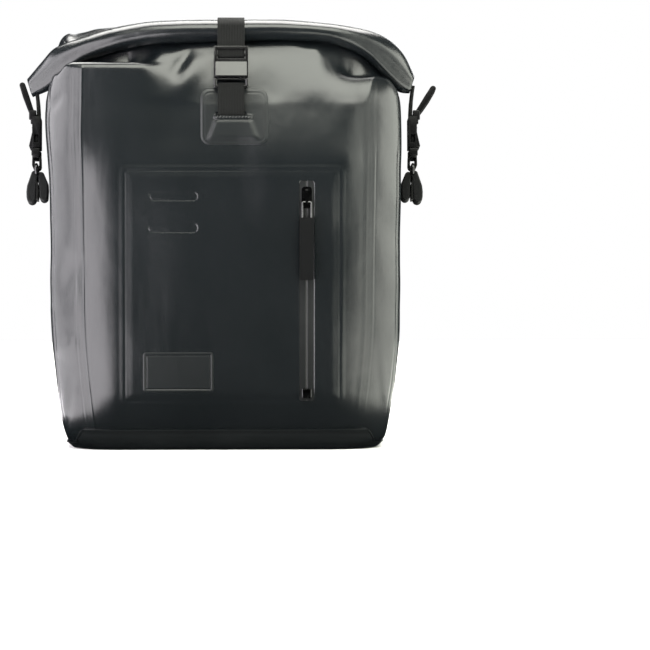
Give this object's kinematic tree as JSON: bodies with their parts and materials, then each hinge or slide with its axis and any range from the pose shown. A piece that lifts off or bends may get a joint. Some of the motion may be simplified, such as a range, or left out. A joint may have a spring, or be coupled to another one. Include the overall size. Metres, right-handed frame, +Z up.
{
  "type": "roll-top saddle bag",
  "caption": "Coated-fabric roll-top saddle bag with strap buckles, a zipped front pocket and rail hooks for a tubular carrier.",
  "frame": {"origin": "centre of the base's underside, which the bag stands on", "axes": "+X to the bag's right seen from the front, +Y to the back with its hooks, +Z up"},
  "size_m": [0.3978, 0.2331, 0.4103],
  "materials": {
    "coated_fabric": "satin",
    "patch_fabric": "satin",
    "webbing": "matte",
    "buckle_plastic": "satin",
    "rail_plastic": "satin",
    "board_plastic": "matte",
    "zip_coating": "satin",
    "black_metal": "satin",
    "steel": "satin",
    "grip_rubber": "matte"
  },
  "bodies": {
    "root": {"main_shell": "coated_fabric", "front_pocket": "coated_fabric", "base_patch": "patch_fabric", "badge_patch": "patch_fabric", "front_anchor_patch": "patch_fabric", "side_anchor_L": "patch_fabric", "side_anchor_R": "patch_fabric", "front_lower_web": "webbing", "side_lower_web_L": "webbing", "side_lower_web_R": "webbing", "front_buckle_male": "buckle_plastic", "side_buckle_male_L": "buckle_plastic", "side_buckle_male_R": "buckle_plastic", "top_rail": "rail_plastic", "lower_rail": "rail_plastic", "handle_mount_L": "rail_plastic", "handle_mount_R": "rail_plastic", "back_board": "board_plastic", "base_board": "board_plastic", "zip_tape": "zip_coating", "zip_stop": "black_metal", "side_ring_L": "black_metal", "side_ring_R": "black_metal", "top_1_bolt": "steel", "top_1_nut": "steel", "top_2_bolt": "steel", "top_2_nut": "steel", "top_3_bolt": "steel", "top_3_nut": "steel", "top_4_bolt": "steel", "top_4_nut": "steel", "lower_1_bolt": "steel", "lower_1_nut": "steel", "lower_2_bolt": "steel", "lower_2_nut": "steel"},
    "roll_top": {"collar": "coated_fabric", "roll_fabric": "coated_fabric", "roll_stiffener": "board_plastic", "side_upper_web_L": "webbing", "side_upper_web_R": "webbing", "side_buckle_female_L": "buckle_plastic", "side_buckle_female_R": "buckle_plastic", "front_upper_web": "webbing", "front_buckle_female": "buckle_plastic"},
    "lever_L": {"side_lever_L": "buckle_plastic"},
    "lever_R": {"side_lever_R": "buckle_plastic"},
    "slider": {"zip_slider": "black_metal"},
    "pull": {"zip_pull_link": "black_metal", "zip_pull_tab": "webbing"},
    "rail_hook_L": {"hook_L": "rail_plastic", "gate_pin_L": "steel"},
    "gate_L": {"hook_gate_L": "buckle_plastic"},
    "rail_hook_R": {"hook_R": "rail_plastic", "gate_pin_R": "steel"},
    "gate_R": {"hook_gate_R": "buckle_plastic"},
    "swivel_carriage": {"lower_carriage": "rail_plastic", "lower_hook_bolt": "steel"},
    "swivel_hook": {"lower_hook": "rail_plastic"},
    "handle": {"carry_handle": "rail_plastic", "handle_grip": "grip_rubber"}
  },
  "joints": [
    {"name": "roll_lift", "type": "slide", "parent": "root", "child": "roll_top", "axis": [0, 0.1392, 0.9903], "range_m": [0, 0.15]},
    {"name": "lever_swing_L", "type": "hinge", "parent": "roll_top", "child": "lever_L", "pos_m": [-0.1838, -0.03121, 0.31748], "axis": [0, -0.9903, 0.1392], "range_deg": [0, 85]},
    {"name": "lever_swing_R", "type": "hinge", "parent": "roll_top", "child": "lever_R", "pos_m": [0.1838, -0.03121, 0.31748], "axis": [0, 0.9903, -0.1392], "range_deg": [0, 70]},
    {"name": "zip_slide", "type": "slide", "parent": "root", "child": "slider", "axis": [0, 0.0048, -1], "range_m": [0, 0.16]},
    {"name": "zip_pull_swing", "type": "hinge", "parent": "slider", "child": "pull", "pos_m": [0.077, -0.10411, 0.2355], "axis": [-1, 0, 0], "range_deg": [0, 165]},
    {"name": "hook_slide_L", "type": "slide", "parent": "root", "child": "rail_hook_L", "axis": [1, 0, 0], "range_m": [-0.012, 0.012]},
    {"name": "gate_swing_L", "type": "hinge", "parent": "rail_hook_L", "child": "gate_L", "pos_m": [-0.095, 0.1181, 0.318], "axis": [1, 0, 0], "range_deg": [0, 80], "stiffness_Nm_per_rad": 0.02, "springref_deg": -17.19},
    {"name": "hook_slide_R", "type": "slide", "parent": "root", "child": "rail_hook_R", "axis": [1, 0, 0], "range_m": [-0.012, 0.012]},
    {"name": "gate_swing_R", "type": "hinge", "parent": "rail_hook_R", "child": "gate_R", "pos_m": [0.095, 0.1181, 0.318], "axis": [1, 0, 0], "range_deg": [0, 80], "stiffness_Nm_per_rad": 0.02, "springref_deg": -17.19},
    {"name": "lower_hook_slide", "type": "slide", "parent": "root", "child": "swivel_carriage", "axis": [1, 0, 0], "range_m": [-0.03, 0.03]},
    {"name": "lower_hook_swivel", "type": "hinge", "parent": "swivel_carriage", "child": "swivel_hook", "pos_m": [-0.0025, 0.1, 0.11], "axis": [0, 1, 0], "range_deg": [-90, 90]},
    {"name": "handle_swing", "type": "hinge", "parent": "root", "child": "handle", "pos_m": [0, 0.101, 0.335], "axis": [1, 0, 0], "range_deg": [0, 170]}
  ]
}
